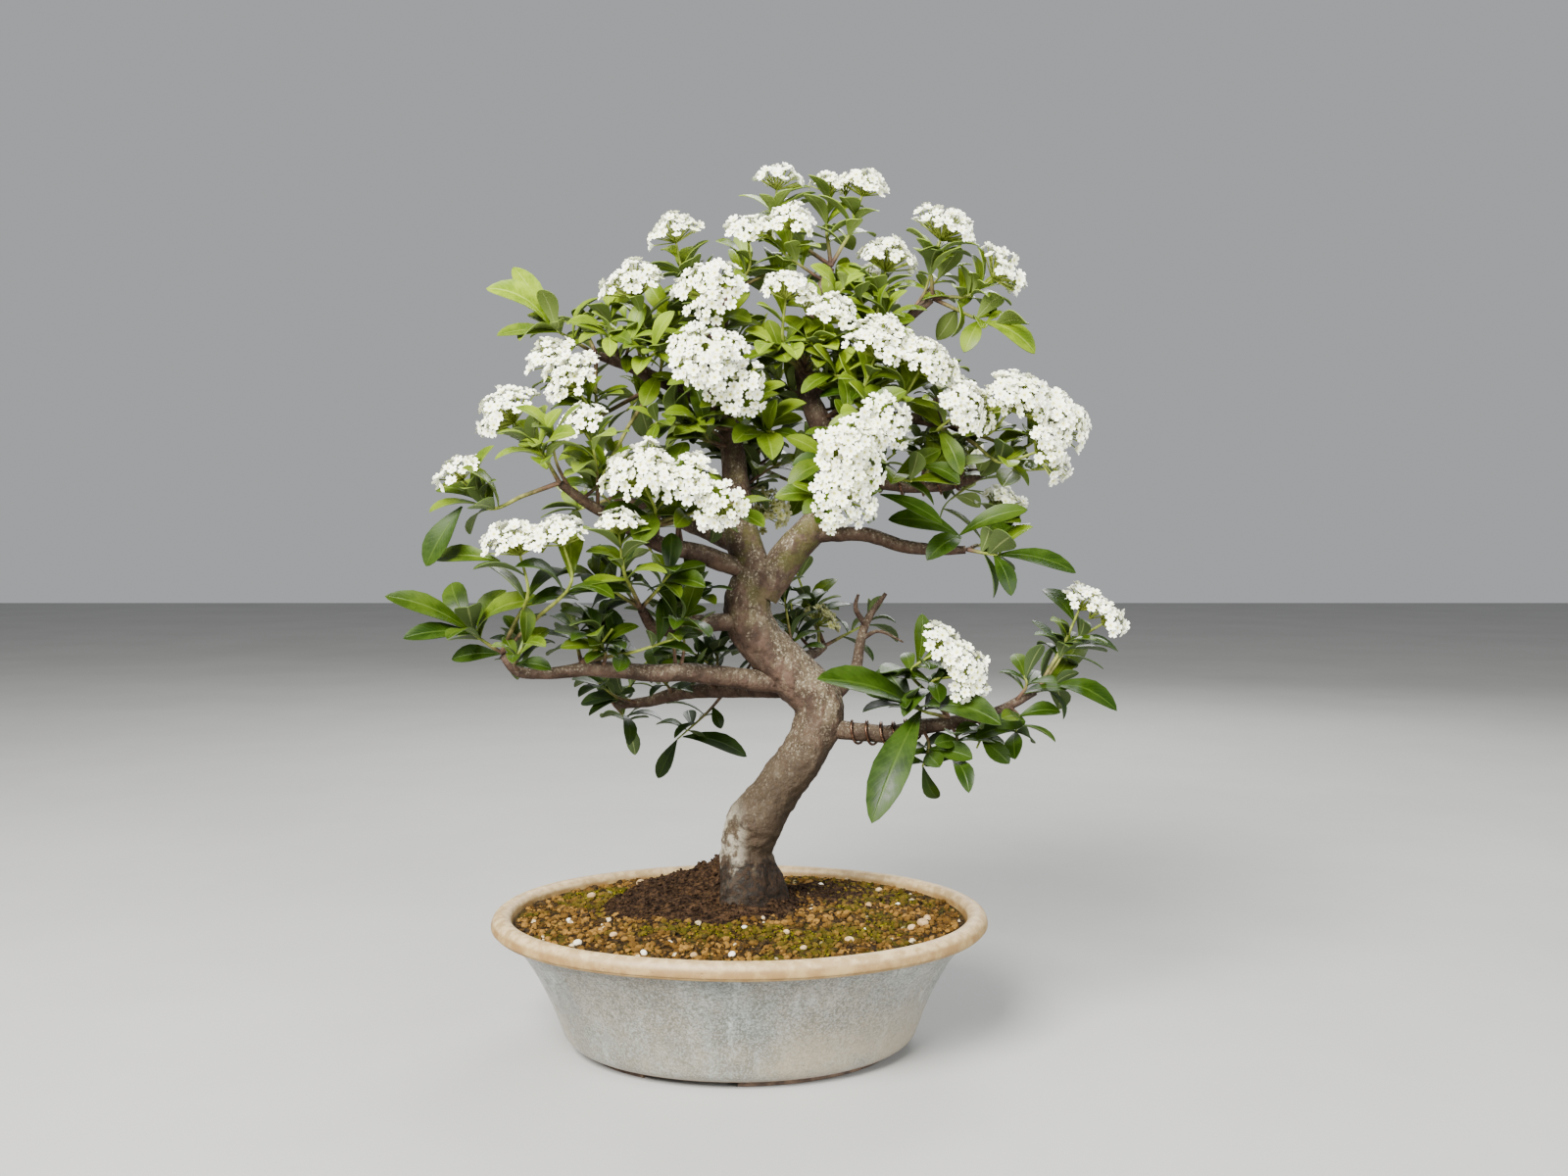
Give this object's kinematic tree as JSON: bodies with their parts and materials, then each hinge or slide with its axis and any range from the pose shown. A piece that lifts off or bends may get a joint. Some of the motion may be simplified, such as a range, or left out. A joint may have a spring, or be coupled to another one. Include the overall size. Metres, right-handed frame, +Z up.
{
  "type": "potted bonsai tree",
  "caption": "Small tree with a curved trunk, spreading branches, green leaves and domed heads of white flowers, in an oval glazed pot.",
  "frame": {"origin": "on the surface that the pot stands on, under the middle of the whole object's box", "axes": "+Z up, along the object's longest extent; +Y from the tree's front to its back, across the oval pot; +X to the right as seen from the front"},
  "size_m": [0.4556, 0.2496, 0.5682],
  "materials": {
    "glaze": "satin pale grey-blue glaze",
    "soil": "matt baked clay grit",
    "peat": "matt fibrous peat",
    "bark": "speckled bark",
    "leaf": "glossy leaf",
    "petal": "matt petal",
    "wire": "brown anodised",
    "mesh": "matt black"
  },
  "bodies": {
    "root": {"blossom_arch_right": "petal", "blossom_back_high": "petal", "blossom_back_left": "petal", "blossom_back_right": "petal", "blossom_centre": "petal", "blossom_centre_right": "petal", "blossom_centre_upper": "petal", "blossom_crown_front": "petal", "blossom_crown_left": "petal", "blossom_crown_peak": "petal", "blossom_crown_right": "petal", "blossom_edge_right": "petal", "blossom_far_right": "petal", "blossom_front_left": "petal", "blossom_heart": "petal", "blossom_left_inner": "petal", "blossom_left_mass": "petal", "blossom_left_step": "petal", "blossom_left_tip": "petal", "blossom_low_left": "petal", "blossom_low_left_inner": "petal", "blossom_low_right": "petal", "blossom_right_mass": "petal", "blossom_shade_right": "petal", "blossom_shoulder_inner": "petal", "blossom_shoulder_left": "petal", "blossom_shoulder_right": "petal", "drain_screen_left": "mesh", "drain_screen_right": "mesh", "peat_mound": "peat", "pot": "glaze", "soil": "soil", "spray_arch": "leaf", "spray_back": "leaf", "spray_back_mid": "leaf", "spray_centre": "leaf", "spray_crown": "leaf", "spray_crown_left": "leaf", "spray_far_right": "leaf", "spray_front": "leaf", "spray_front_left": "leaf", "spray_heart": "leaf", "spray_inner_right": "leaf", "spray_left_back": "leaf", "spray_left_mass": "leaf", "spray_left_tip": "leaf", "spray_low_left_mid": "leaf", "spray_low_left_tip": "leaf", "spray_low_right": "leaf", "spray_mid_left": "leaf", "spray_mid_right": "leaf", "spray_right_mass": "leaf", "spray_shoulder_left": "leaf", "spray_shoulder_right": "leaf", "spray_under_left": "leaf", "spray_upper_left": "leaf", "spray_upper_right": "leaf", "training_wire_high": "wire", "training_wire_low": "wire", "wood": "bark"}
  },
  "joints": []
}
